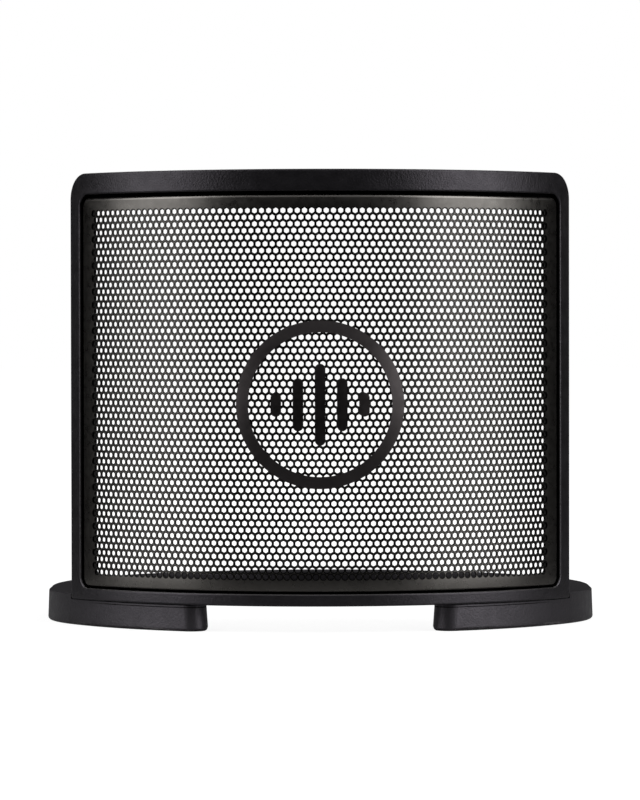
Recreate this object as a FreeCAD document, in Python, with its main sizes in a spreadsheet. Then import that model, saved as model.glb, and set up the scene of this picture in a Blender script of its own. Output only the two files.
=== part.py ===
import FreeCAD, Part
import math
import os
import Sketcher

# A magnetic pop filter: an arched, framed metal grille standing on a C-shaped base ring.
# Millimetres. +Z is up, the grille bulges towards -Y, and the origin is the centre of the
# ring's bore on the plane of its underside.

doc = FreeCAD.newDocument("pop_filter")

SIZES = {
    # base ring, seen from above
    "ring_height": 6.6,
    "ring_radius": 59.65,
    "ring_front_radius": 63.75,
    "shoulder_radius": 36.9,
    "bore_radius": 50.0,
    "gap_half_width": 23.68,
    "gap_draft": 4.0,
    "gap_back": 35.0,
    "gap_outer_round": 3.3,
    "gap_inner_round": 3.0,
    "wall_draft": 2.0,
    "foot_round": 0.65,
    "ring_top_round": 0.3,
    # channel under the ring and the cover that closes it
    "channel_middle": 54.95,
    "channel_width": 4.5,
    "rebate_width": 6.5,
    "rebate_depth": 1.5,
    "channel_depth": 5.1,
    "channel_end": 31.0,
    "cover_play": 0.1,
    "cover_lift": 0.1,
    "post_radius": 2.0,
    # magnets
    "magnet_radius": 3.0,
    "magnet_thick": 3.0,
    "magnet_play": 0.05,
    "magnet_front_angle": 60.0,
    "magnet_rear_angle": 140.0,
    # arched panel, measured from the axis of its curve
    "panel_axis_back": 4.05,
    "frame_radius": 64.45,
    "joint_radius": 62.5,
    "skirt_radius": 63.85,
    "frame_bottom": 5.65,
    "frame_top": 96.45,
    "frame_half_angle": 56.0,
    "frame_top_round": 5.5,
    "frame_foot_round": 0.6,
    "frame_edge_round": 0.35,
    "opening_bottom": 8.2,
    "opening_top": 91.9,
    "opening_half_angle": 52.6,
    "opening_round": 2.5,
    # perforated grille, a shallow pan with its edge folded back
    "grille_radius": 64.05,
    "grille_thick": 0.3,
    "grille_rim": 1.5,
    "grille_bottom": 8.55,
    "grille_top": 91.15,
    "grille_half_angle": 52.2,
    "grille_round": 1.9,
    # rear frame
    "rear_radius": 61.2,
    "rear_top": 95.75,
    "rear_half_angle": 55.6,
    "rear_top_round": 4.9,
    "land_radius": 63.4,
    "land_inset": 0.3,
    "land_half_angle": 51.75,
    "land_round": 1.2,
    "window_half_width": 47.65,
    "window_bottom": 10.7,
    "window_top": 89.15,
    "window_round": 1.5,
    # heels that carry the panel on the ring
    "heel_back_radius": 55.5,
    "heel_angle": 38.0,
    "heel_half_angle": 10.0,
    "heel_top": 10.45,
    # round sign on the grille
    "emblem_radius": 17.5,
    "emblem_inner_radius": 15.0,
    "emblem_height": 47.55,
    "emblem_thick": 0.4,
    "bar_half_width": 1.1,
    "bar_pitch": 4.6,
    "bar_short": 5.0,
    "bar_middle": 11.0,
    "bar_tall": 17.0,
    # screws
    "shank_radius": 0.8,
    "hole_radius": 0.85,
    "head_radius": 1.5,
    "head_thick": 1.0,
    "head_round": 0.35,
    "cross_length": 1.7,
    "cross_width": 0.45,
    "insert_radius": 1.4,
    "insert_length": 3.0,
    "countersink_depth": 0.7,
    "frame_screw_reach": 2.5,
    "heel_screw_reach": 4.2,
    "cover_screw_reach": 3.9,
    "hole_spare": 0.1,
    "stile_screw_angle": 54.1,
    "rail_screw_height": 93.85,
    "rail_screw_angle": 30.0,
    "stile_screw_low": 20.2,
    "stile_screw_step": 30.0,
    "heel_screw_near": 37.5,
    "heel_screw_far": 46.0,
}

sheet = doc.addObject("Spreadsheet::Sheet", "Sizes")
for row, (alias, number) in enumerate(SIZES.items(), start=1):
    sheet.set(f"A{row}", alias)
    sheet.set(f"B{row}", str(number))
    sheet.setAlias(f"B{row}", alias)
doc.recompute()

COVER_SCREW_ANGLES = (51.0, 80.0, 115.0, 165.0)
BARS = {-2: "bar_short", -1: "bar_middle", 0: "bar_tall", 1: "bar_middle", 2: "bar_short"}
UP = FreeCAD.Vector(0, 0, 1)
NEAR = 0.01
DRAFT_SPREAD = 1.0       # a drafted wall's edge may stand this far from its nominal place
BEYOND = 1.1             # cutting shapes reach past what they cut by this share
OVERLAP = 0.5            # how far blocks that are fused run into each other


def size(expression):
    """The present value of a sum of sheet cells, in millimetres or degrees."""
    answer = sheet.evalExpression(expression)
    return float(getattr(answer, "Value", answer))


def cells(names):
    """The same words with the sheet's name put before each cell's alias."""
    return " ".join("Sizes." + word if word in SIZES else word for word in names.split())


def new_body(name):
    body = doc.addObject("PartDesign::Body", name)
    body.Label = name
    return body


def new_sketch(body, role, name):
    sketch = body.newObject("Sketcher::SketchObject", name)
    plane = next(item for item in body.Origin.OriginFeatures if item.Role == role)
    sketch.AttachmentSupport = [(plane, "")]
    sketch.MapMode = "FlatFace"
    return sketch


def bind(sketch, kind, *where, to):
    """Add a measured constraint whose value is a sum of sheet cells."""
    expression = cells(to)
    index = sketch.addConstraint(Sketcher.Constraint(kind, *where, size(expression)))
    sketch.setExpression(f"Constraints[{index}]", expression)


def draw_polygon(sketch, points):
    """A closed outline through points, each of them a pair of sums of sheet cells."""
    corners = [FreeCAD.Vector(size(cells(x)), size(cells(y)), 0) for x, y in points]
    count = len(corners)
    first = sketch.GeometryCount
    for i in range(count):
        sketch.addGeometry(Part.LineSegment(corners[i], corners[(i + 1) % count]), False)
    for i in range(count):
        after = first + (i + 1) % count
        sketch.addConstraint(Sketcher.Constraint("Coincident", first + i, 2, after, 1))
    for i, (x, y) in enumerate(points):
        bind(sketch, "DistanceX", -1, 1, first + i, 1, to=x)
        bind(sketch, "DistanceY", -1, 1, first + i, 1, to=y)


def draw_circle(sketch, radius, x=None, y=None):
    """A circle whose centre is on the sketch's axis where x or y is None."""
    centre = FreeCAD.Vector(size(cells(x or "0")), size(cells(y or "0")), 0)
    index = sketch.addGeometry(Part.Circle(centre, UP, size(cells(radius))), False)
    bind(sketch, "Radius", index, to=radius)
    for kind, place, axis in (("DistanceX", x, -2), ("DistanceY", y, -1)):
        if place is None:
            sketch.addConstraint(Sketcher.Constraint("PointOnObject", index, 3, axis))
        else:
            bind(sketch, kind, -1, 1, index, 3, to=place)


def edges_where(shape, test):
    """Names of the edges for which test(edge) is true."""
    return [f"Edge{i}" for i, edge in enumerate(shape.Edges, start=1) if test(edge)]


def reach(point):
    """Distance of a point from the vertical axis."""
    return math.hypot(point.x, point.y)


def add_fillet(body, base, names, radius):
    fillet = body.newObject("PartDesign::Fillet", body.Name + "_round")
    fillet.Base = (base, names)
    fillet.setExpression("Radius", cells(radius))
    doc.recompute()
    return fillet


def radial_edges_at(shape, height):
    """Straight level edges that point at the vertical axis and lie at one height."""
    def is_one(edge):
        start, end = edge.firstVertex().Point, edge.lastVertex().Point
        level = abs(start.z - height) < NEAR and abs(end.z - height) < NEAR
        return level and edge.Curve.TypeId == "Part::GeomLine"
    return edges_where(shape, is_one)


def curved_block(name, points, half_angle, bottom_round=None, top_round=None):
    """A profile of (distance from the axis, height) swept about the vertical axis, as far
    to one side of the front as to the other, with its four corners rounded."""
    body = new_body(name)
    sketch = new_sketch(body, "YZ_Plane", name + "_profile")
    draw_polygon(sketch, [(f"0 - ( {radius} )", height) for radius, height in points])
    arch = body.newObject("PartDesign::Revolution", name + "_arch")
    arch.Profile = sketch
    arch.ReferenceAxis = (sketch, ["V_Axis"])
    arch.Midplane = True
    arch.setExpression("Angle", cells(f"2 * {half_angle}"))
    doc.recompute()
    tip = arch
    heights = sorted(size(cells(height)) for _, height in points)
    for height, radius in ((heights[0], bottom_round), (heights[-1], top_round)):
        if radius:
            tip = add_fillet(body, tip, radial_edges_at(tip.Shape, height), radius)
    return body


def rectangle(inner, outer, bottom, top):
    """Corners of an upright rectangle for curved_block."""
    return [(inner, bottom), (outer, bottom), (outer, top), (inner, top)]


def boolean(kind, label, base, tool):
    result = doc.addObject("Part::" + kind, label)
    result.Base = base
    result.Tool = tool
    result.Label = label
    doc.recompute()
    return result


def fuse(label, pieces):
    result = doc.addObject("Part::MultiFuse", label)
    result.Shapes = pieces
    result.Label = label
    doc.recompute()
    return result


def feature(label, shape):
    item = doc.addObject("Part::Feature", label)
    item.Shape = shape
    item.Label = label
    return item


def on_panel_axis(item):
    """Put a piece made about the sheet's origin on the axis of the panel's curve."""
    item.setExpression("Placement.Base.y", "Sizes.panel_axis_back")
    doc.recompute()
    return item


def at_front_angle(radius, angle, height):
    """A point by its distance from the vertical axis and its angle from the front, which
    grows towards +X."""
    turn = math.radians(angle)
    return FreeCAD.Vector(radius * math.sin(turn), -radius * math.cos(turn), height)


# ---------------------------------------------------------------- screws and screw holes


def cross_recess(top, direction, head_depth):
    """Two crossed slots sunk into a screw head, from top along direction."""
    length, width = size("Sizes.cross_length"), size("Sizes.cross_width")
    slot = Part.makeBox(length, width, head_depth / 2)
    slot.translate(FreeCAD.Vector(-length / 2, -width / 2, 0))
    cross = slot.fuse(slot.rotated(FreeCAD.Vector(), UP, 90))
    cross.Placement = FreeCAD.Placement(top, FreeCAD.Rotation(UP, direction))
    return cross


def pan_head_screw(seat, direction, reach_beyond_seat):
    """A cross-head screw whose head rests on seat and whose shank runs along direction."""
    thick = size("Sizes.head_thick")
    back = seat - direction * thick
    head = Part.makeCylinder(size("Sizes.head_radius"), thick, back, direction)
    outer_rim = [e for e in head.Edges if (e.CenterOfMass - back).Length < NEAR]
    head = head.makeFillet(size("Sizes.head_round"), outer_rim)
    shank = Part.makeCylinder(size("Sizes.shank_radius"), reach_beyond_seat, seat, direction)
    return head.cut(cross_recess(back, direction, thick)).fuse(shank).removeSplitter()


def drilled_hole(seat, direction, depth):
    return Part.makeCylinder(size("Sizes.hole_radius"), depth, seat, direction)


def frame_screw_places():
    """(angle from the front, height) of each screw that holds the two frames together."""
    low = size("Sizes.stile_screw_low")
    step = size("Sizes.stile_screw_step")
    for side in (-1, 1):
        for turn in range(3):
            yield side * size("Sizes.stile_screw_angle"), low + turn * step
    for side in (-1, 0, 1):
        yield side * size("Sizes.rail_screw_angle"), size("Sizes.rail_screw_height")


def along_frame_screws(make, depth):
    """make(seat, direction, depth) at every frame screw, pointing out from the axis."""
    made = []
    for angle, height in frame_screw_places():
        seat = at_front_angle(size("Sizes.rear_radius"), angle, height)
        made.append(make(seat, at_front_angle(1, angle, 0), depth))
    return Part.makeCompound(made)


def heel_screw_places():
    """Seats of the four screws that rise through the ring's roof into the heels."""
    for side in (-1, 1):
        for cell in ("heel_screw_near", "heel_screw_far"):
            angle = side * size("Sizes." + cell)
            yield at_front_angle(size("Sizes.channel_middle"), angle, size("Sizes.channel_depth"))


# ---------------------------------------------------------------- base ring


def ring_outline(sketch):
    """Front arc on the panel's curve, two shoulders, two short flats and a rear half circle."""
    front_radius = size("Sizes.ring_front_radius")
    shoulder = size("Sizes.shoulder_radius")
    rear = size("Sizes.ring_radius")
    axis_back = size("Sizes.panel_axis_back")
    # the shoulder touches the front arc at this angle from the front and ends on the flat
    centre_x = rear - shoulder
    turn = math.asin(centre_x / (front_radius - shoulder))
    centre_y = axis_back - (front_radius - shoulder) * math.cos(turn)
    below = -math.pi / 2
    front = Part.Circle(FreeCAD.Vector(0, axis_back, 0), UP, front_radius)
    right = Part.Circle(FreeCAD.Vector(centre_x, centre_y, 0), UP, shoulder)
    left = Part.Circle(FreeCAD.Vector(-centre_x, centre_y, 0), UP, shoulder)
    back = Part.Circle(FreeCAD.Vector(), UP, rear)
    sketch.addGeometry([
        Part.ArcOfCircle(front, below - turn, below + turn),
        Part.ArcOfCircle(right, below + turn, 0),
        Part.LineSegment(FreeCAD.Vector(rear, centre_y, 0), FreeCAD.Vector(rear, 0, 0)),
        Part.ArcOfCircle(back, 0, math.pi),
        Part.LineSegment(FreeCAD.Vector(-rear, 0, 0), FreeCAD.Vector(-rear, centre_y, 0)),
        Part.ArcOfCircle(left, math.pi, -below * 3 - turn),
    ], False)
    count = 6
    for i in range(count):
        sketch.addConstraint(Sketcher.Constraint("Tangent", i, 2, (i + 1) % count, 1))
    for flat in (2, 4):
        sketch.addConstraint(Sketcher.Constraint("Vertical", flat))
    sketch.addConstraint(Sketcher.Constraint("PointOnObject", 0, 3, -2))
    sketch.addConstraint(Sketcher.Constraint("Coincident", 3, 3, -1, 1))
    bind(sketch, "DistanceY", -1, 1, 0, 3, to="panel_axis_back")
    bind(sketch, "Radius", 0, to="ring_front_radius")
    bind(sketch, "Radius", 1, to="shoulder_radius")
    bind(sketch, "Radius", 5, to="shoulder_radius")
    bind(sketch, "Radius", 3, to="ring_radius")


def c_outline(sketch, half_width, end):
    """A C about the origin that is open towards the front: two arcs and two level ends that
    stand at end to either side of the middle."""
    inner, outer = f"channel_middle - ( {half_width} )", f"channel_middle + ( {half_width} )"
    origin = FreeCAD.Vector()
    far = size(cells(end))
    reaches = [size(cells(inner)), size(cells(outer))]
    turns = [math.acos(far / radius) for radius in reaches]
    corner = {(i, side): FreeCAD.Vector(side * far, -reaches[i] * math.sin(turns[i]), 0)
              for i in (0, 1) for side in (-1, 1)}
    arcs = [Part.ArcOfCircle(Part.Circle(origin, UP, reaches[i]), -turns[i], math.pi + turns[i])
            for i in (0, 1)]
    sketch.addGeometry([
        arcs[0],
        Part.LineSegment(corner[0, 1], corner[1, 1]),
        arcs[1],
        Part.LineSegment(corner[1, -1], corner[0, -1]),
    ], False)
    for one, one_end, other, other_end in ((0, 1, 1, 1), (1, 2, 2, 1), (2, 2, 3, 1), (3, 2, 0, 2)):
        sketch.addConstraint(Sketcher.Constraint("Coincident", one, one_end, other, other_end))
    for arc, radius in ((0, inner), (2, outer)):
        sketch.addConstraint(Sketcher.Constraint("Coincident", arc, 3, -1, 1))
        bind(sketch, "Radius", arc, to=radius)
    for line, place in ((1, end), (3, f"0 - ( {end} )")):
        sketch.addConstraint(Sketcher.Constraint("Vertical", line))
        bind(sketch, "DistanceX", -1, 1, line, 1, to=place)


def at_angle(angle):
    """Sheet sums for the x and y of a point of the channel's middle, by its front angle."""
    return f"channel_middle * sin( {angle} )", f"0 - channel_middle * cos( {angle} )"


def add_pad(body, sketch, length, taper=None):
    pad = body.newObject("PartDesign::Pad", sketch.Name + "_pad")
    pad.Profile = sketch
    pad.setExpression("Length", cells(length))
    if taper:
        pad.setExpression("TaperAngle", cells(taper))
    doc.recompute()
    return pad


def cut_upwards(body, sketch, depth, taper=None):
    """Sink a sketch of the underside plane into the body that stands on it."""
    before = body.Shape.Volume
    pocket = body.newObject("PartDesign::Pocket", sketch.Name + "_pocket")
    pocket.Profile = sketch
    pocket.Reversed = True
    pocket.setExpression("Length", cells(depth))
    if taper:
        pocket.setExpression("TaperAngle", cells(taper))
    doc.recompute()
    if pocket.Shape.Volume > before - 1:
        raise RuntimeError(sketch.Name + " cut nothing")
    return pocket


def upright_edges(shape, near_x, back_y, front_y):
    """Edges that rise from the underside about as far as near_x from the middle plane."""
    def is_one(edge):
        ends = [vertex.Point for vertex in edge.Vertexes]
        rises = len(ends) == 2 and abs(ends[0].z - ends[1].z) > size("Sizes.ring_height") / 2
        return rises and all(abs(abs(p.x) - near_x) < DRAFT_SPREAD and front_y < p.y < back_y
                             for p in ends)
    return edges_where(shape, is_one)


def level_edges(shape, height):
    return edges_where(shape, lambda edge: all(abs(v.Z - height) < NEAR for v in edge.Vertexes)
                       and abs(edge.CenterOfMass.z - height) < NEAR)


def post_places():
    return [side * angle for angle in COVER_SCREW_ANGLES for side in (-1, 1)]


def magnet_angles():
    return {"magnet_front_left": "-1 * magnet_front_angle", "magnet_front_right": "magnet_front_angle",
            "magnet_rear_left": "-1 * magnet_rear_angle", "magnet_rear_right": "magnet_rear_angle"}


def make_ring_blank():
    """The C-shaped base: drafted outside, straight bore, hollow underneath."""
    body = new_body("ring_blank")
    outline = new_sketch(body, "XY_Plane", "ring_outline")
    ring_outline(outline)
    add_pad(body, outline, "ring_height", taper="0 - wall_draft")
    bore = new_sketch(body, "XY_Plane", "ring_bore")
    draw_circle(bore, "bore_radius")
    cut_upwards(body, bore, "ring_height")
    gap = new_sketch(body, "XY_Plane", "ring_gap")
    left, right = "0 - gap_half_width", "gap_half_width"
    front, back = f"0 - {BEYOND} * ring_front_radius", "0 - gap_back"
    draw_polygon(gap, [(left, front), (right, front), (right, back), (left, back)])
    tip = cut_upwards(body, gap, "ring_height", taper="gap_draft")
    half_gap = size("Sizes.gap_half_width")
    middle = -size("Sizes.bore_radius")
    names = upright_edges(tip.Shape, half_gap, middle, 2 * middle)
    tip = add_fillet(body, tip, names, "gap_outer_round")
    names = upright_edges(tip.Shape, half_gap, 0, middle)
    tip = add_fillet(body, tip, names, "gap_inner_round")
    tip = add_fillet(body, tip, level_edges(tip.Shape, 0), "foot_round")
    add_fillet(body, tip, level_edges(tip.Shape, size("Sizes.ring_height")), "ring_top_round")
    rebate = new_sketch(body, "XY_Plane", "cover_rebate")
    c_outline(rebate, "rebate_width / 2", "channel_end - ( rebate_width - channel_width ) / 2")
    cut_upwards(body, rebate, "rebate_depth")
    channel = new_sketch(body, "XY_Plane", "ring_channel")
    c_outline(channel, "channel_width / 2", "channel_end")
    for angle in post_places():
        x, y = at_angle(angle)
        draw_circle(channel, "post_radius", x, y)
    cut_upwards(body, channel, "channel_depth")
    magnets = new_sketch(body, "XY_Plane", "magnet_pockets")
    for angle in magnet_angles().values():
        x, y = at_angle(angle)
        draw_circle(magnets, "magnet_radius + magnet_play", x, y)
    cut_upwards(body, magnets, "channel_depth")
    return body


def cover_screw(seat, direction, reach_beyond_seat):
    """A countersunk screw, flush with the underside plane of the cover."""
    depth = size("Sizes.countersink_depth")
    head_radius, shank_radius = size("Sizes.head_radius"), size("Sizes.shank_radius")
    cone = Part.makeCone(head_radius, shank_radius, depth, seat, direction)
    shank = Part.makeCylinder(shank_radius, reach_beyond_seat, seat, direction)
    return cone.fuse(shank).cut(cross_recess(seat, direction, depth)).removeSplitter()


def countersunk_hole(seat, direction, depth):
    sink = Part.makeCone(size("Sizes.head_radius"), size("Sizes.shank_radius"),
                         size("Sizes.countersink_depth"), seat, direction)
    return sink.fuse(drilled_hole(seat, direction, depth))


def along_cover_screws(make, depth):
    lift = size("Sizes.cover_lift")
    seats = [at_front_angle(size("Sizes.channel_middle"), angle, lift) for angle in post_places()]
    return Part.makeCompound([make(seat, UP, depth) for seat in seats])


def along_heel_screws(make, depth):
    return Part.makeCompound([make(seat, UP, depth) for seat in heel_screw_places()])


def make_ring():
    spare = size("Sizes.hole_spare")
    cover_holes = along_cover_screws(countersunk_hole, size("Sizes.cover_screw_reach") + spare)
    heel_holes = along_heel_screws(drilled_hole, size("Sizes.ring_height - Sizes.channel_depth"))
    drilled = feature("ring_holes", Part.makeCompound([cover_holes, heel_holes]))
    ring = boolean("Cut", "ring_body", make_ring_blank(), drilled)

    plate = new_body("cover_blank")
    sketch = new_sketch(plate, "XY_Plane", "cover_outline")
    c_outline(sketch, "rebate_width / 2 - cover_play",
              "channel_end - ( rebate_width - channel_width ) / 2 + cover_play")
    add_pad(plate, sketch, "rebate_depth - cover_lift")
    plate.setExpression("Placement.Base.z", "Sizes.cover_lift")
    cover = boolean("Cut", "ring_cover", plate, feature("cover_holes", cover_holes))
    screws = feature("cover_screws", along_cover_screws(cover_screw, size("Sizes.cover_screw_reach")))
    return [ring, cover, screws]


def make_magnets():
    magnets = []
    for label, angle in magnet_angles().items():
        magnet = doc.addObject("Part::Cylinder", label)
        magnet.Label = label
        magnet.setExpression("Radius", "Sizes.magnet_radius")
        magnet.setExpression("Height", "Sizes.magnet_thick")
        x, y = at_angle(angle)
        magnet.setExpression("Placement.Base.x", cells(x))
        magnet.setExpression("Placement.Base.y", cells(y))
        magnet.setExpression("Placement.Base.z", "Sizes.rebate_depth + Sizes.magnet_play")
        magnets.append(magnet)
    return magnets


# ---------------------------------------------------------------- arched panel


def make_front_frame(screw_holes):
    profile = [("skirt_radius", "frame_bottom"), ("frame_radius", "frame_bottom"),
               ("frame_radius", "frame_top"), ("joint_radius", "frame_top"),
               ("joint_radius", "ring_height"), ("skirt_radius", "ring_height")]
    blank = curved_block("front_frame_blank", profile, "frame_half_angle",
                         "frame_foot_round", "frame_top_round")
    opening = curved_block(
        "front_opening",
        rectangle("joint_radius - 1", "frame_radius + 1", "opening_bottom", "opening_top"),
        "opening_half_angle", "opening_round", "opening_round")
    bare = boolean("Cut", "front_frame_bare", blank, opening)
    face = size("Sizes.frame_radius")
    names = edges_where(bare.Shape, lambda edge: all(
        abs(reach(edge.valueAt(p)) - face) < NEAR
        for p in (edge.FirstParameter, sum(edge.ParameterRange) / 2, edge.LastParameter)))
    softened = doc.addObject("Part::Fillet", "front_frame_softened")
    softened.Base = bare
    radius = size("Sizes.frame_edge_round")
    softened.Edges = [(int(name[4:]), radius, radius) for name in names]
    doc.recompute()
    return on_panel_axis(boolean("Cut", "front_frame", softened, screw_holes))


def make_window():
    """The see-through part of the rear frame, cut straight along Y with rounded corners."""
    body = new_body("rear_window")
    sketch = new_sketch(body, "XZ_Plane", "window_outline")
    left, right = "0 - window_half_width", "window_half_width"
    draw_polygon(sketch, [(left, "window_bottom"), (right, "window_bottom"),
                          (right, "window_top"), (left, "window_top")])
    pad = add_pad(body, sketch, f"{BEYOND} * frame_radius")
    names = edges_where(pad.Shape, lambda edge: abs(edge.tangentAt(0).y) > 1 - NEAR)
    add_fillet(body, pad, names, "window_round")
    return body


def make_heel(side):
    """A block that stands on the ring behind the panel; side is -1 on the left, 1 on the right."""
    name = "heel_left" if side < 0 else "heel_right"
    body = curved_block(name, rectangle("heel_back_radius", f"rear_radius + {OVERLAP}",
                                        "ring_height", "heel_top"), "heel_half_angle")
    body.setExpression("Placement.Rotation.Angle", f"{side} * Sizes.heel_angle")
    return body


def make_rear_frame(window, screw_holes):
    flange = curved_block(
        "rear_flange", rectangle("rear_radius", "joint_radius", "ring_height", "rear_top"),
        "rear_half_angle", None, "rear_top_round")
    land = curved_block(
        "rear_land",
        rectangle(f"joint_radius - {OVERLAP}", "land_radius", "grille_bottom + 2 * land_inset",
                  "grille_top - 2 * land_inset"),
        "land_half_angle", "land_round", "land_round")
    windowed = boolean("Cut", "rear_panel", fuse("rear_blocks", [flange, land]), window)
    whole = fuse("rear_frame_bare", [windowed, make_heel(-1), make_heel(1)])
    inserts = Part.makeCompound([
        Part.makeCylinder(size("Sizes.insert_radius"),
                          size("Sizes.insert_length + Sizes.hole_spare"), place, UP)
        for place in insert_places()])
    inserts.translate(FreeCAD.Vector(0, -size("Sizes.panel_axis_back"), 0))
    sockets = feature("insert_sockets", inserts)
    drilled = fuse("rear_holes", [screw_holes, sockets])
    return on_panel_axis(boolean("Cut", "rear_frame", whole, drilled))


def insert_places():
    rise = size("Sizes.ring_height - Sizes.channel_depth")
    return [seat + UP * rise for seat in heel_screw_places()]


def make_inserts():
    """Threaded brass bushes in the heels, one for each screw that rises through the ring."""
    outer, bore = size("Sizes.insert_radius"), size("Sizes.hole_radius")
    length = size("Sizes.insert_length")
    tubes = [Part.makeCylinder(outer, length, place, UP).cut(
        Part.makeCylinder(bore, length, place, UP)) for place in insert_places()]
    return feature("brass_inserts", Part.makeCompound(tubes))


def make_grille():
    """A pan of sheet metal whose edge is folded back; its perforations are too fine to model."""
    outer = curved_block(
        "grille_outside",
        rectangle("grille_radius - grille_rim", "grille_radius", "grille_bottom", "grille_top"),
        "grille_half_angle", "grille_round", "grille_round")
    sheet_turn = "( grille_thick / grille_radius ) * 180 / pi"
    inner = curved_block(
        "grille_inside",
        rectangle("grille_radius - grille_rim - 1", "grille_radius - grille_thick",
                  "grille_bottom + grille_thick", "grille_top - grille_thick"),
        f"( grille_half_angle - {sheet_turn} )",
        "grille_round - grille_thick", "grille_round - grille_thick")
    return on_panel_axis(boolean("Cut", "grille", outer, inner))


def make_tape(window):
    """Foam tape between the rear frame's land and the back of the grille."""
    strip = curved_block(
        "tape_blank",
        rectangle("land_radius", "grille_radius - grille_thick",
                  "grille_bottom + 2 * land_inset", "grille_top - 2 * land_inset"),
        "land_half_angle", "land_round", "land_round")
    return on_panel_axis(boolean("Cut", "grille_tape", strip, window))


def make_emblem():
    """A ring and five upright bars that stand proud of the grille, bent to its curve."""
    skin = {}
    for label in ("emblem_ring", "emblem_bars"):
        skin[label] = curved_block(
            label + "_skin",
            rectangle("grille_radius", "grille_radius + emblem_thick",
                      f"emblem_height - {BEYOND} * emblem_radius",
                      f"emblem_height + {BEYOND} * emblem_radius"),
            "opening_half_angle / 2")
    ring = new_body("emblem_ring_punch")
    sketch = new_sketch(ring, "XZ_Plane", "emblem_ring_outline")
    for radius in ("emblem_radius", "emblem_inner_radius"):
        draw_circle(sketch, radius, y="emblem_height")
    add_pad(ring, sketch, f"{BEYOND} * frame_radius")
    bars = new_body("emblem_bar_punch")
    sketch = new_sketch(bars, "XZ_Plane", "emblem_bar_outline")
    for place, height in BARS.items():
        draw_bar(sketch, f"{place} * bar_pitch", height)
    add_pad(bars, sketch, f"{BEYOND} * frame_radius")
    return [on_panel_axis(boolean("Common", label, skin[label], punch))
            for label, punch in (("emblem_ring", ring), ("emblem_bars", bars))]


def draw_bar(sketch, x, height):
    """An upright bar with half-round ends, centred on the emblem's height."""
    first = sketch.GeometryCount
    middle_x, middle_y = size(cells(x)), size("Sizes.emblem_height")
    half = size("Sizes.bar_half_width")
    rise = size(cells(height)) / 2 - half
    top = FreeCAD.Vector(middle_x, middle_y + rise, 0)
    bottom = FreeCAD.Vector(middle_x, middle_y - rise, 0)
    aside = FreeCAD.Vector(half, 0, 0)
    sketch.addGeometry([
        Part.ArcOfCircle(Part.Circle(top, UP, half), 0, math.pi),
        Part.LineSegment(top - aside, bottom - aside),
        Part.ArcOfCircle(Part.Circle(bottom, UP, half), math.pi, 2 * math.pi),
        Part.LineSegment(bottom + aside, top + aside),
    ], False)
    for i in range(4):
        sketch.addConstraint(Sketcher.Constraint("Tangent", first + i, 2, first + (i + 1) % 4, 1))
    for arc, sign in ((first, "+"), (first + 2, "-")):
        bind(sketch, "Radius", arc, to="bar_half_width")
        bind(sketch, "DistanceY", -1, 1, arc, 3,
             to=f"emblem_height {sign} ( {height} / 2 - bar_half_width )")
    if middle_x:
        bind(sketch, "DistanceX", -1, 1, first, 3, to=x)
    else:
        sketch.addConstraint(Sketcher.Constraint("PointOnObject", first, 3, -2))
    sketch.addConstraint(Sketcher.Constraint("Vertical", first, 3, first + 2, 3))


def make_panel():
    reach_in = size("Sizes.frame_screw_reach")
    holes = feature("frame_holes", along_frame_screws(drilled_hole, reach_in + size("Sizes.hole_spare")))
    window = make_window()
    screws = feature("shell_screws", along_frame_screws(pan_head_screw, reach_in))
    return [
        make_front_frame(holes),
        make_rear_frame(window, holes),
        make_grille(),
        make_tape(window),
        *make_emblem(),
        on_panel_axis(screws),
        make_inserts(),
        feature("heel_screws", along_heel_screws(pan_head_screw, size("Sizes.heel_screw_reach"))),
    ]


def check(items):
    for item in doc.Objects:
        if "Invalid" in item.State or "Error" in item.State:
            raise RuntimeError(f"{item.Name} is {item.State}")
    for item in items:
        if item.Shape.isNull() or not item.Shape.isValid():
            raise RuntimeError(f"{item.Label} has no valid shape")


nodes = make_ring() + make_magnets() + make_panel()
doc.recompute()
check(nodes)
os.makedirs("parts", exist_ok=True)
for node in nodes:
    node.Shape.exportStep(f"parts/{node.Label}.step")
    box = node.Shape.BoundBox
    print(f"{node.Label:20} {len(node.Shape.Solids):2} solids {node.Shape.Volume:10.1f} mm3",
          f"x {box.XMin:7.2f} {box.XMax:7.2f}  y {box.YMin:7.2f} {box.YMax:7.2f}",
          f" z {box.ZMin:6.2f} {box.ZMax:6.2f}")
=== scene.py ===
import bpy
import math
from functools import reduce
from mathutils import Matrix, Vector
from mathutils.geometry import delaunay_2d_cdt


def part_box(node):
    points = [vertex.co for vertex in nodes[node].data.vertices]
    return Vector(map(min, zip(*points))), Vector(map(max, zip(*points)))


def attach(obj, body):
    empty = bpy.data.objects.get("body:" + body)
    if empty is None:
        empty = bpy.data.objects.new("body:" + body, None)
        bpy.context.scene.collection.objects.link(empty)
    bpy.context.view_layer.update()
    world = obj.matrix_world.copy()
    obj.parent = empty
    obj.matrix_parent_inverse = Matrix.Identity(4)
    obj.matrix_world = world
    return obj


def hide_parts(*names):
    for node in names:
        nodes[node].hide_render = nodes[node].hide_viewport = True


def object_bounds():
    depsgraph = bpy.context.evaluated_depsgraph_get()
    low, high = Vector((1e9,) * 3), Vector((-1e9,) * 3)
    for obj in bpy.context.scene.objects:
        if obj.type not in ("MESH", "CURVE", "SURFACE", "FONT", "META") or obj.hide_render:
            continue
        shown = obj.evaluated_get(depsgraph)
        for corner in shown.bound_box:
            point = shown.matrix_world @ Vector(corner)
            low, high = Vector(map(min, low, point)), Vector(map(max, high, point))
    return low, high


# A magnetic pop filter: an arched perforated grille in a black frame, on a C-shaped base ring.
# Metres, in the CAD model's frame: +Z up, the grille bulges towards -Y.

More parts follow.
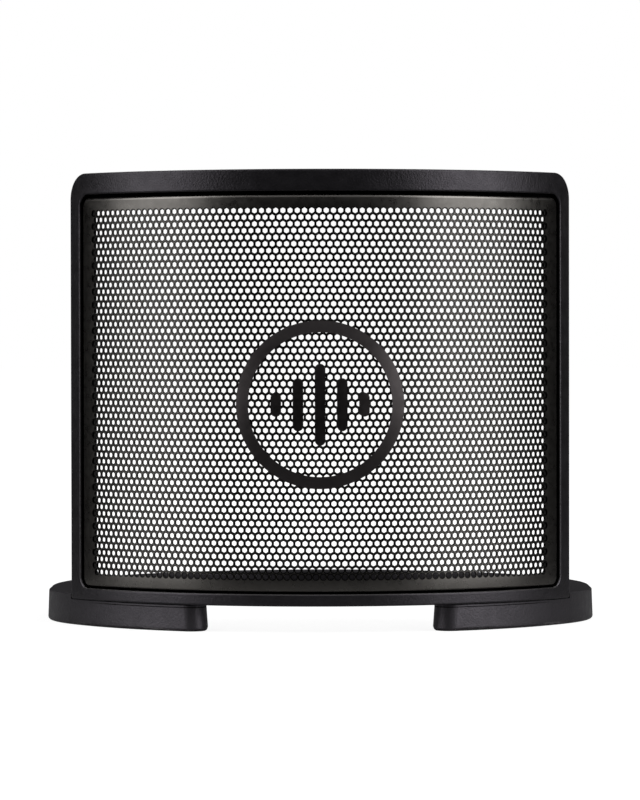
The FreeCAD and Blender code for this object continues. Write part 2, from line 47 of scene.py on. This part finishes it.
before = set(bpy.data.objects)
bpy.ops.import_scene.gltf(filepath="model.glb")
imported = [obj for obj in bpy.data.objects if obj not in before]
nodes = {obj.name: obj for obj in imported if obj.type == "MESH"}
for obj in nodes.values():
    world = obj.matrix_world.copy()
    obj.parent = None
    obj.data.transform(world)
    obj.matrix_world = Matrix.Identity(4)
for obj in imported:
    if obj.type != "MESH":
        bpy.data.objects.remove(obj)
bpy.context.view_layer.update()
MM = 0.001


def link(obj):
    bpy.context.scene.collection.objects.link(obj)
    return obj


# ---------------------------------------------------------------- node trees

NOISE_THIN = 0.3             # noise seldom goes below this,
NOISE_DENSE = 0.7            # or above this
BEVEL_SAMPLES = 8
EDGE_STARTS = 0.985          # likeness of rounded and true normals where the painted highlight on an edge begins,
EDGE_FULL = 0.9              # and where it is strongest
# black diffuse that stands in for shade: painted shade
PAINTED_SHADE_BLACK = (0.002, 0.002, 0.002, 1)


class Graph:
    """The shader node tree of a world or a material, with short ways to add to it."""

    def __init__(self, owner):
        owner.use_nodes = True
        self.tree = owner.node_tree

    def give(self, socket, given):
        """Feeds an input with another node's output, or sets it to a fixed value."""
        if isinstance(given, bpy.types.NodeSocket):
            self.tree.links.new(given, socket)
        else:
            socket.default_value = given

    def add(self, kind, inputs=None, **settings):
        """A new node with these settings. Its inputs are given by name or by number."""
        node = self.tree.nodes.new(kind)
        for name, value in settings.items():
            setattr(node, name, value)
        for name, given in (inputs or {}).items():
            self.give(node.inputs[name], given)
        return node

    def number(self, operation, *inputs):
        return self.add("ShaderNodeMath", dict(enumerate(inputs)), operation=operation).outputs[0]

    def highest(self, *values):
        return reduce(lambda one, two: self.number("MAXIMUM", one, two), values)

    def product(self, *values):
        return reduce(lambda one, two: self.number("MULTIPLY", one, two), values)

    def reach(self, x, y):
        """Distance from the point where x and y are both 0."""
        squares = [self.product(side, side) for side in (x, y)]
        return self.number("SQRT", self.number("ADD", *squares))

    def vector(self, operation, *inputs):
        node = self.add("ShaderNodeVectorMath", dict(enumerate(inputs)), operation=operation)
        return node.outputs["Value" if operation in ("LENGTH", "DOT_PRODUCT") else "Vector"]

    def axes(self, place):
        return self.add("ShaderNodeSeparateXYZ", {0: place}).outputs

    def ramp(self, value, start, end, first=0.0, last=1.0):
        """A number that goes from first to last as value goes from start to end."""
        inputs = {"Value": value, "From Min": start, "From Max": end,
                  "To Min": first, "To Max": last}
        return self.add("ShaderNodeMapRange", inputs).outputs["Result"]

    def mix_colours(self, factor, at_0, at_1):
        inputs = {"Factor": factor, "A": at_0, "B": at_1}
        return self.add("ShaderNodeMix", inputs, data_type="RGBA").outputs["Result"]

    def mix_shaders(self, factor, at_0, at_1):
        return self.add("ShaderNodeMixShader", {"Fac": factor, 1: at_0, 2: at_1}).outputs[0]

    def seen_and_lit(self, shown, lighting):
        """Joins what the eye sees of a stage surface with what that surface throws as light."""
        eye = self.add("ShaderNodeLightPath").outputs["Is Camera Ray"]
        return self.mix_shaders(eye, lighting, shown)


class Shader(Graph):
    """A material with one Principled shader. Colours are red, green and blue."""

    def __init__(self, name, finish):
        self.material = bpy.data.materials.new(name)
        super().__init__(self.material)
        self.principled = self.tree.nodes["Principled BSDF"]
        self.place = self.add("ShaderNodeTexCoord").outputs["Object"]
        for key, value in finish.items():
            self.give(self.principled.inputs[key], value)

    def noise(self, size, detail=3.0):
        """Cloudy noise whose blobs are about size metres across."""
        inputs = {"Scale": 1 / size, "Detail": detail, "Vector": self.place}
        return self.add("ShaderNodeTexNoise", inputs).outputs["Fac"]

    def shades(self, noise, dark, light):
        """A colour that goes from dark to light with noise."""
        factor = self.ramp(noise, NOISE_THIN, NOISE_DENSE)
        colour = self.mix_colours(factor, (*dark, 1), (*light, 1))
        self.give(self.principled.inputs["Base Color"], colour)

    def rough(self, noise, middle, spread):
        """A roughness that goes from spread below middle to spread above it with noise."""
        value = self.ramp(noise, NOISE_THIN, NOISE_DENSE, middle - spread, middle + spread)
        self.give(self.principled.inputs["Roughness"], value)

    def bump(self, height, depth, strength=1.0, under=None):
        """Relief that is depth metres deep, laid over the normal under."""
        inputs = {"Height": height, "Distance": depth, "Strength": strength}
        if under:
            inputs["Normal"] = under
        normal = self.add("ShaderNodeBump", inputs).outputs["Normal"]
        self.give(self.principled.inputs["Normal"], normal)
        return normal

    def domed(self, middle, rise):
        """The normal of a shallow dome about middle; rise is its curvature each way, per metre."""
        away = self.vector("SUBTRACT", self.place, middle)
        sunk = self.vector("MULTIPLY", away, [-each for each in rise])
        return self.bump(self.vector("DOT_PRODUCT", away, sunk), depth=1.0)

    def broken_edges(self, radius):
        """A normal that turns smoothly round each sharp edge, as if it were rounded to radius."""
        node = self.add("ShaderNodeBevel", {"Radius": radius}, samples=BEVEL_SAMPLES)
        return node.outputs["Normal"]

    def sharp(self, rounded):
        """1 along sharp edges, where the rounded normal leaves the face's own, and 0 elsewhere."""
        true = self.add("ShaderNodeNewGeometry").outputs["True Normal"]
        return self.ramp(self.vector("DOT_PRODUCT", rounded, true), EDGE_STARTS, EDGE_FULL)

    def tint(self, area, colour):
        """Lays a colour over the base colour where area is 1."""
        base = self.principled.inputs["Base Color"]
        self.give(base, self.mix_colours(area, base.links[0].from_socket, (*colour, 1)))

    def polish(self, area, share):
        """Takes away this share of the roughness where area is 1."""
        rough = self.principled.inputs["Roughness"]
        kept = self.number("SUBTRACT", 1.0, self.product(area, share))
        self.give(rough, self.product(rough.links[0].from_socket, kept))

    def darken(self, lit):
        """The shader as it is where lit is 1, and a black diffuse where lit is 0: painted shade.
        """
        black = self.add("ShaderNodeBsdfDiffuse", {"Color": PAINTED_SHADE_BLACK})
        mix = self.mix_shaders(lit, black.outputs[0], self.principled.outputs[0])
        self.give(self.tree.nodes["Material Output"].inputs["Surface"], mix)


# ---------------------------------------------------------------- camera, stage and light

CAMERA_DISTANCE = 866.4 * MM  # from the lens to the front of the grille
CAMERA_HEIGHT = 62.95 * MM
CAMERA_TILT = math.radians(0.953)
CAMERA_ROLL = math.radians(0.1)
LENS_MM = 188.1

FLOOR_HALF = 6.0
# By distance from the object's middle, the floor looks brighter away from the object, whose
# shadow shows close by,
FLOOR_GLOW = {"start": 0.06, "end": 0.35, "first": 0.88, "last": 1.0}
# and gives way from a pale table, which throws light back, to dark glass.
FLOOR_TABLE = {"start": 0.09, "end": 0.18, "first": 0.55, "last": 0.05}
FLOOR_MATTE = 0.25           # greys: the matte on which the object's shadow shows,
FLOOR_PALE = 0.8             # the table,
FLOOR_GLASS = 0.34           # and the glass
ROOM_GLOW = 0.015            # light from all round
WHITE = (1.0, 1.0, 1.0, 1.0)

SOFTBOX_REACH = 0.85         # from the object's middle
SOFTBOX_MIDDLE = 0.5         # height of the middle
SOFTBOX_SIZE = (0.58, 1.6)   # width and height
SOFTBOX_RIGHT = (60, 8.8)    # degrees round from the camera, watts
SOFTBOX_LEFT = (-66, 7.0)
LAMP_AIM = (0, 0, 0.05)      # what all the smaller lamps point at
# Place on the right, width and height, watts. Each has a twin on the left.
PAIRED_LAMPS = {
    "rear": ((0.6, 0.6, 1.2), (0.6, 0.6), 2.8),
    "strip": ((0.75, 0.8, 0.15), (0.4, 0.6), 0.25),
}
SINGLE_LAMPS = {
    "overhead": ((0, -0.35, 1.1), (1.2, 0.6), 2.0),
    "front_high": ((0, -0.9, 0.6), (1.0, 0.4), 0.6),
}


def add_camera():
    grille_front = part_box("grille")[0].y
    data = bpy.data.cameras.new("camera")
    data.lens = LENS_MM
    camera = link(bpy.data.objects.new("camera", data))
    camera.location = (0, grille_front - CAMERA_DISTANCE, CAMERA_HEIGHT)
    camera.rotation_euler = (math.pi / 2 - CAMERA_TILT, CAMERA_ROLL, 0)
    bpy.context.scene.camera = camera


def add_world():
    world = bpy.data.worlds.new("studio")
    bpy.context.scene.world = world
    graph = Graph(world)
    graph.tree.nodes.clear()
    shown, room = (
        graph.add("ShaderNodeBackground", {"Color": WHITE, "Strength": strength}).outputs[0]
        for strength in (1.0, ROOM_GLOW))
    graph.add("ShaderNodeOutputWorld", {"Surface": graph.seen_and_lit(shown, room)})
    bpy.context.scene.view_settings.view_transform = "Standard"


def floor_material():
    """Nearly white to the eye. For the light it throws back it is a small pale table, with
    softboxes that reach below its top."""
    material = bpy.data.materials.new("floor_pale")
    graph = Graph(material)
    graph.tree.nodes.clear()

    def grey(kind, value):
        return graph.add(kind, {"Color": (value, value, value, 1)}).outputs[0]

    away = graph.vector("LENGTH", graph.add("ShaderNodeNewGeometry").outputs["Position"])
    glow = graph.add("ShaderNodeEmission", {"Strength": graph.ramp(away, **FLOOR_GLOW)})
    matte = grey("ShaderNodeBsdfDiffuse", FLOOR_MATTE)
    shown = graph.add("ShaderNodeAddShader", {0: glow.outputs[0], 1: matte}).outputs[0]
    glass = grey("ShaderNodeBsdfTransparent", FLOOR_GLASS)
    pale = grey("ShaderNodeBsdfDiffuse", FLOOR_PALE)
    table = graph.mix_shaders(graph.ramp(away, **FLOOR_TABLE), glass, pale)
    graph.add("ShaderNodeOutputMaterial", {"Surface": graph.seen_and_lit(shown, table)})
    return material


def add_floor():
    mesh = bpy.data.meshes.new("floor")
    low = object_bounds()[0][2]
    signs = ((-1, -1), (1, -1), (1, 1), (-1, 1))
    corners = [(x * FLOOR_HALF, y * FLOOR_HALF, low) for x, y in signs]
    mesh.from_pydata(corners, [], [(0, 1, 2, 3)])
    mesh.materials.append(floor_material())
    floor = link(bpy.data.objects.new("floor", mesh))


def add_lamp(name, place, aim, size, watts):
    data = bpy.data.lights.new(name, "AREA")
    data.shape = "RECTANGLE"
    data.size, data.size_y = size
    data.energy = watts
    light = link(bpy.data.objects.new(name, data))
    light.location = place
    light.rotation_euler = (Vector(aim) - Vector(place)).to_track_quat("-Z", "Y").to_euler()


def add_lamps():
    for side, sign, (turn, watts) in (("left", -1, SOFTBOX_LEFT), ("right", 1, SOFTBOX_RIGHT)):
        turn = math.radians(turn)
        place = (SOFTBOX_REACH * math.sin(turn), -SOFTBOX_REACH * math.cos(turn), SOFTBOX_MIDDLE)
        add_lamp("softbox_" + side, place, (0, 0, SOFTBOX_MIDDLE), SOFTBOX_SIZE, watts)
        for name, ((x, y, z), size, power) in PAIRED_LAMPS.items():
            add_lamp(f"{name}_{side}", (sign * x, y, z), LAMP_AIM, size, power)
    for name, (place, size, watts) in SINGLE_LAMPS.items():
        add_lamp(name, place, LAMP_AIM, size, watts)


# ---------------------------------------------------------------- materials

PANEL_AXIS_BACK = 4.05 * MM  # how far the axis of the panel's curve is behind the ring's centre
VIOLET_TINT = (0.96, 0.89, 1.0, 1)
MOULD_EDGE = 0.35 * MM       # how much the mould breaks each edge of a plastic part
# pale colour laid on sharp plastic edges: a painted highlight
EDGE_PAINTED_HIGHLIGHT = (0.08, 0.076, 0.078)

# Two dark lines on the ring's wall along the front frame's lower edge: the upper is a painted
# shadow under that edge, the lower a dark line painted a step below it.
DARK_LINE_WIDTH = 0.26 * MM
DARK_LINE_STEP = 0.62 * MM        # from the front frame's edge down to the second, lower dark line
DARK_LINE_ENDS = (44 * MM, 50 * MM)  # how far to each side the lower dark line starts to fade, and is gone
DARK_LINE_BACK = -30 * MM         # behind this, the ring's wall is clear of the front frame
BORE_SHADE_FADE = (50.2 * MM, 50.6 * MM)  # up to the first radius the bore's wall gets painted shade, which fades out by the second
BORE_UNSHADED = 0.35            # how much of the ring's own shader is left under that painted shade

# How far in from the front frame's top, bottom and sides its own outer walls reach.
OUTER_TOP = 3.5 * MM
OUTER_BOTTOM = 1.4 * MM
OUTER_SIDE = 1.2 * MM
# Depths behind the front frame's face, towards the axis of its curve.
WALL_STARTS = (0.2 * MM, 0.4 * MM)     # the painted shade on the opening's wall fades in,
WALL_ENDS = (2.7 * MM, 2.9 * MM)       # and out behind the edge of the grille
ROUND_STARTS = (0.02 * MM, 0.05 * MM)  # the painted highlight on the opening's rounded edge fades in,
ROUND_ENDS = (0.18 * MM, 0.24 * MM)    # and out
ROUND_TOP = 8.5 * MM         # the edge gets the painted highlight only from this far below the frame's top
ROUND_PAINTED_HIGHLIGHT = (0.045, 0.043, 0.043)
ROUND_POLISH = 0.75          # the share of its roughness taken away along that edge


def moulded_plastic(name, dark, light, roughness, grain, depth, shine=0.5):
    """Black plastic from a spark-eroded mould: fine grain, slight cloudiness, handling marks."""
    shader = Shader(name, {"Specular IOR Level": shine, "Specular Tint": VIOLET_TINT})
    shader.shades(shader.noise(size=9 * MM), dark, light)
    shader.rough(shader.noise(size=2.5 * MM, detail=4), roughness, spread=0.05)
    rounded = shader.broken_edges(MOULD_EDGE)
    # painted highlight: a pale colour along sharp edges
    shader.tint(shader.sharp(rounded), EDGE_PAINTED_HIGHLIGHT)
    fine = shader.bump(shader.noise(size=grain, detail=2), depth, under=rounded)
    marks = shader.noise(size=6 * MM, detail=2)
    shader.bump(marks, depth=0.02 * MM, strength=0.5, under=fine)
    return shader


def coated_metal(name, dark, light, roughness, dome=None):
    """Blackened sheet: satin, with a very fine orange peel. dome is (middle, rise) of its face."""
    shader = Shader(name, {"Metallic": 1.0})
    shader.shades(shader.noise(size=4 * MM), dark, light)
    shader.rough(shader.noise(size=1.2 * MM), roughness, spread=0.04)
    under = shader.domed(*dome) if dome else None
    shader.bump(shader.noise(size=0.5 * MM, detail=2), depth=0.0025 * MM, under=under)
    return shader


def bare_metal(name, dark, light, roughness):
    shader = Shader(name, {"Metallic": 1.0})
    shader.shades(shader.noise(size=1.5 * MM), dark, light)
    shader.rough(shader.noise(size=0.4 * MM), roughness, spread=0.06)
    shader.bump(shader.noise(size=0.2 * MM, detail=2), depth=0.003 * MM)
    return shader


def foam(name):
    shader = Shader(name, {})
    cells = shader.noise(size=0.3 * MM, detail=5)
    shader.shades(cells, dark=(0.003, 0.003, 0.003), light=(0.010, 0.010, 0.010))
    shader.rough(shader.noise(size=1 * MM), 0.915, spread=0.065)
    shader.bump(shader.noise(size=0.2 * MM, detail=5), depth=0.05 * MM)
    return shader


def darken_ring(shader):
    """Paints shade on the ring's bore, and two fine dark lines along the front frame's lower edge,
    the upper one a painted shadow under that edge.
    """
    low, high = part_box("front_frame")
    x, y, z = shader.axes(shader.place)
    aside = shader.number("ABSOLUTE", x)
    below = shader.number("SUBTRACT", low.z, z)
    beside = shader.number("SUBTRACT", aside, high.x)
    behind = shader.number("SUBTRACT", y, DARK_LINE_BACK)
    outside = shader.highest(below, beside, behind)
    # the upper line is a painted shadow under the front frame's lower edge; the lower is a dark
    # line a step below it
    upper = shader.ramp(outside, DARK_LINE_WIDTH / 2, DARK_LINE_WIDTH)
    from_lower = shader.number("ABSOLUTE", shader.number("SUBTRACT", outside, DARK_LINE_STEP))
    lower = shader.ramp(from_lower, DARK_LINE_WIDTH / 8, DARK_LINE_WIDTH / 2)
    faded = shader.ramp(aside, *DARK_LINE_ENDS)
    dark_lines = shader.number("MINIMUM", upper, shader.highest(lower, faded))
    # painted shade on the bore's wall
    bore = shader.highest(shader.ramp(shader.reach(x, y), *BORE_SHADE_FADE), BORE_UNSHADED)
    shader.darken(shader.number("MINIMUM", dark_lines, bore))


def shade_and_highlight_opening(shader):
    """Paints shade on the walls round the grille and behind its edge, and paints a highlight on
    the opening's rounded edge, which is also made less rough.
    """
    low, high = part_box("front_frame")
    x, y, z = shader.axes(shader.place)
    back = shader.number("SUBTRACT", y, PANEL_AXIS_BACK)
    depth = shader.number("SUBTRACT", PANEL_AXIS_BACK - low.y, shader.reach(x, back))
    above = shader.number("GREATER_THAN", z, high.z - OUTER_TOP)
    below = shader.number("LESS_THAN", z, low.z + OUTER_BOTTOM)
    beside = shader.number("GREATER_THAN", shader.number("ABSOLUTE", x), high.x - OUTER_SIDE)
    outer = shader.highest(above, below, beside)

    # painted shade on the opening's walls
    in_front = shader.ramp(depth, *reversed(WALL_STARTS))
    shader.darken(shader.highest(in_front, shader.ramp(depth, *WALL_ENDS), outer))

    # painted highlight along the opening's rounded edge, which is also made less rough
    starts, ends = shader.ramp(depth, *ROUND_STARTS), shader.ramp(depth, *reversed(ROUND_ENDS))
    under_top = shader.number("LESS_THAN", z, high.z - ROUND_TOP)
    inner = shader.number("SUBTRACT", 1.0, outer)
    area = shader.product(starts, ends, under_top, inner)
    shader.tint(area, ROUND_PAINTED_HIGHLIGHT)
    shader.polish(area, ROUND_POLISH)


def paint_nodes():
    frame_black = moulded_plastic(
        "frame_black", dark=(0.0045, 0.0044, 0.0048), light=(0.0065, 0.0063, 0.0070),
        roughness=0.36, grain=0.4 * MM, depth=0.06 * MM)
    shade_and_highlight_opening(frame_black)
    ring_black = moulded_plastic(
        "ring_black", dark=(0.0055, 0.0053, 0.0058), light=(0.0085, 0.0082, 0.0090),
        roughness=0.46, grain=0.5 * MM, depth=0.065 * MM, shine=0.72)
    darken_ring(ring_black)
    low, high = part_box("emblem_ring")
    emblem_middle = (0, low.y, (low.z + high.z) / 2)
    emblem_black = coated_metal(
        "emblem_black", dark=(0.050, 0.045, 0.046), light=(0.062, 0.056, 0.057),
        roughness=0.36, dome=(emblem_middle, (4.0, 0, 8.5)))
    screw_black = bare_metal(
        "screw_black", dark=(0.05, 0.05, 0.052), light=(0.09, 0.09, 0.092), roughness=0.35)
    insert_brass = bare_metal(
        "insert_brass", dark=(0.55, 0.38, 0.15), light=(0.72, 0.54, 0.26), roughness=0.3)
    magnet_nickel = bare_metal(
        "magnet_nickel", dark=(0.5, 0.49, 0.47), light=(0.66, 0.65, 0.62), roughness=0.22)
    looks = {
        frame_black: ("front_frame", "rear_frame"),
        ring_black: ("ring_body", "ring_cover"),
        emblem_black: ("emblem_ring", "emblem_bars"),
        screw_black: ("shell_screws", "heel_screws", "cover_screws"),
        insert_brass: ("brass_inserts",),
        magnet_nickel: [name for name in nodes if name.startswith("magnet")],
        foam("tape_black"): ("grille_tape",),
    }
    for shader, names in looks.items():
        for name in names:
            slots = nodes[name].data.materials
            slots.clear()
            slots.append(shader.material)


# ---------------------------------------------------------------- perforated grille

SHEET = 0.3 * MM
BEND = 0.5 * MM              # outside radius of the folded edge
BEND_STEPS = 4
CORNER = 1.9 * MM
CORNER_STEPS = 6
PITCH = 1.504 * MM           # from hole to hole along a row
ROW_STEP = 1.3832 * MM
ROWS = 56
HOLES_IN_ROW = 73
ASIDE = -0.165 * MM          # the punched field sits a little off the sheet's middle
TOP_MARGIN = 3.3 * MM        # from the sheet's upper edge to the middle of the top row
HOLE_SIDES = 6
HOLE_ACROSS = 1.055 * MM     # across the flats of a hole
HOLE_CORNER = 0.09 * MM      # how much of each hexagon corner is rounded off, along a flat
SAME_POINT = 1e-7            # points closer than this are merged by the triangulation
SHARP_FROM = math.radians(32)
RIM_SHADE_WIDTH = 0.30 * MM         # how wide the painted shade round each hole is
RIM_PAINTED_SHADE = (0.005, 0.005, 0.005)
FOLD_HIGHLIGHT_REACH = 0.65 * MM        # how far down from the sheet's upper edge the painted highlight on the fold reaches
FOLD_PAINTED_HIGHLIGHT = (0.19, 0.18, 0.17)


def punched_metal():
    """The grille's coating, with painted shade on the rims round the holes and a painted highlight
    on the upper fold.
    """
    shader = coated_metal(
        "grille_black", dark=(0.088, 0.083, 0.078), light=(0.104, 0.099, 0.093), roughness=0.3)
    vector = shader.vector
    flat = shader.add("ShaderNodeAttribute", attribute_name="flat").outputs["Vector"]
    cell = (PITCH, 2 * ROW_STEP, 1)  # from each hole to the next in its row and two rows down
    side = (HOLES_IN_ROW - 1) // 2
    to_middle = []
    for offset, last_right in (((0, 0, 0), side), ((PITCH / 2, -ROW_STEP, 0), side - 1)):
        place = vector("SUBTRACT", flat, offset)
        nearest = vector("FLOOR", vector("ADD", vector("DIVIDE", place, cell), (0.5, 0.5, 0)))
        nearest = vector("MAXIMUM", nearest, (-side, 1 - ROWS // 2, 0))
        nearest = vector("MINIMUM", nearest, (last_right, 0, 0))
        middle = vector("MULTIPLY", nearest, cell)
        to_middle.append(vector("LENGTH", vector("SUBTRACT", place, middle)))
    away = shader.number("MINIMUM", *to_middle)
    # painted shade round each hole
    rim = shader.ramp(away, HOLE_ACROSS / 2 + RIM_SHADE_WIDTH, HOLE_ACROSS / 2 + RIM_SHADE_WIDTH / 2)
    shader.tint(rim, RIM_PAINTED_SHADE)
    height = shader.axes(flat)["Y"]
    # painted highlight on the upper fold
    shader.tint(shader.ramp(height, TOP_MARGIN - FOLD_HIGHLIGHT_REACH, TOP_MARGIN - BEND), FOLD_PAINTED_HIGHLIGHT)
    return shader.material


def hole_middles(top):
    """(along the arc, height) of each hole: long and short rows by turns, from the top down."""
    for row in range(ROWS):
        count = HOLES_IN_ROW - row % 2
        for column in range(count):
            yield ASIDE + (column - (count - 1) / 2) * PITCH, top - TOP_MARGIN - row * ROW_STEP


def hexagon(middle, corner_cut):
    """A hexagon that stands on a point. Each corner is one point, or two where it is cut."""
    half_side = HOLE_ACROSS / 2 * math.tan(math.pi / HOLE_SIDES)
    reach = HOLE_ACROSS / 2 / math.cos(math.pi / HOLE_SIDES)
    cut = min(corner_cut, half_side)
    points = []
    for turn in range(HOLE_SIDES):
        angle = math.radians(60 * turn + 30)
        corner = Vector(middle) + reach * Vector((math.cos(angle), math.sin(angle)))
        if not corner_cut:
            points.append(corner)
            continue
        for sign in (-1, 1):
            along = angle + sign * math.radians(120)
            points.append(corner + cut * Vector((math.cos(along), math.sin(along))))
    return points


def rounded_edge(half, bottom, top, inset):
    """The sheet's outline, drawn inset from its edge, with as many points for every inset."""
    points = []
    straight = 2 * (half - CORNER)
    upright = top - bottom - 2 * CORNER
    radius = CORNER - inset
    corners = ((half - CORNER, bottom + CORNER, -90, upright, (0, 1)),
               (half - CORNER, top - CORNER, 0, straight, (-1, 0)),
               (CORNER - half, top - CORNER, 90, upright, (0, -1)),
               (CORNER - half, bottom + CORNER, 180, straight, (1, 0)))
    for x, z, start, run, heading in corners:
        for step in range(CORNER_STEPS + 1):
            angle = math.radians(start + 90 * step / CORNER_STEPS)
            points.append(Vector((x + radius * math.cos(angle), z + radius * math.sin(angle))))
        parts = round(run / PITCH)
        for part in range(1, parts):
            points.append(points[-1] + Vector(heading) * run / parts)
    return points


def triangulate(outline, holes):
    """Points and triangles of a flat sheet with holes: the outline's points, then each hole's."""
    points, edges = [], []
    for line in [outline, *holes]:
        first = len(points)
        points += line
        edges += [(first + i, first + (i + 1) % len(line)) for i in range(len(line))]
    _, _, faces, sources, _, _ = delaunay_2d_cdt(points, edges, [], 0, SAME_POINT, True)
    origin = [source[0] for source in sources]
    first_hole = len(outline)

    def in_hole(face):
        owners = {(i - first_hole) // len(holes[0]) if i >= first_hole else -1 for i in face}
        return len(owners) == 1 and -1 not in owners

    kept = [tuple(origin[i] for i in face) for face in faces]
    return points, [face for face in kept if not in_hole(face)]


def hole_walls(front, back, count):
    """Faces that join each cut hexagon of the front to the plain one behind it."""
    faces = []
    for hole in range(count):
        near = front + 2 * HOLE_SIDES * hole
        far = back + HOLE_SIDES * hole
        for corner in range(HOLE_SIDES):
            one, two = near + 2 * corner, near + 2 * corner + 1
            after = near + (2 * corner + 2) % (2 * HOLE_SIDES)
            deep, deep_after = far + corner, far + (corner + 1) % HOLE_SIDES
            faces += [(one, deep, two), (two, deep, deep_after, after)]
    return faces


def folded_edge(rim):
    """(inset, sunk) of each line round the sheet's edge, from the front face to the rim's back."""
    turns = [math.pi / 2 * step / BEND_STEPS for step in range(1, BEND_STEPS + 1)]
    bend = [(BEND - BEND * math.sin(turn), BEND - BEND * math.cos(turn)) for turn in turns]
    return bend + [(0, rim), (SHEET, rim)]


def make_grille():
    low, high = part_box("grille")
    bottom, top = low.z, high.z
    radius = PANEL_AXIS_BACK - low.y
    half_angle = math.asin(high.x / radius)
    half = half_angle * radius
    # the CAD's rearmost points are the back corners of the rim
    rim = radius - (PANEL_AXIS_BACK - high.y) / math.cos(half_angle)

    def bent(points, sink):
        """Wraps points of the flat sheet round the panel's axis, sunk below the front face."""
        reach = radius - sink
        for point in points:
            angle = point.x / radius
            yield reach * math.sin(angle), PANEL_AXIS_BACK - reach * math.cos(angle), point.y

    middles = list(hole_middles(top))
    front_points, front = triangulate(rounded_edge(half, bottom, top, BEND),
                                      [hexagon(middle, HOLE_CORNER) for middle in middles])
    back_points, back = triangulate(rounded_edge(half, bottom, top, SHEET),
                                    [hexagon(middle, 0) for middle in middles])
    shift = len(front_points)
    loop = len(rounded_edge(half, bottom, top, 0))
    flat_points = front_points + back_points
    vertices = [*bent(front_points, 0), *bent(back_points, SHEET)]
    faces = front + [tuple(shift + i for i in reversed(face)) for face in back]
    faces += hole_walls(loop, shift + loop, len(middles))

    loops = [range(loop)]
    for inset, sink in folded_edge(rim):
        edge = rounded_edge(half, bottom, top, inset)
        loops.append(range(len(vertices), len(vertices) + loop))
        flat_points += edge
        vertices += bent(edge, sink)
    loops.append(range(shift, shift + loop))
    for outer, inner in zip(loops, loops[1:]):
        for i in range(loop):
            j = (i + 1) % loop
            faces.append((outer[i], inner[i], inner[j], outer[j]))

    mesh = bpy.data.meshes.new("perforated_grille")
    mesh.from_pydata(vertices, [], faces)
    mesh.shade_smooth()
    mesh.set_sharp_from_angle(angle=SHARP_FROM)
    # where each point lies on the unrolled sheet, from the middle of a hole in the top row
    flat = mesh.attributes.new("flat", "FLOAT_VECTOR", "POINT")
    for i, point in enumerate(flat_points):
        flat.data[i].vector = (point.x - ASIDE, point.y - top + TOP_MARGIN, 0)
    mesh.materials.append(punched_metal())
    grille = link(bpy.data.objects.new("perforated_grille", mesh))
    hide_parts("grille")
    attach(grille, "root")


add_camera()
add_world()
add_floor()
add_lamps()
paint_nodes()
make_grille()
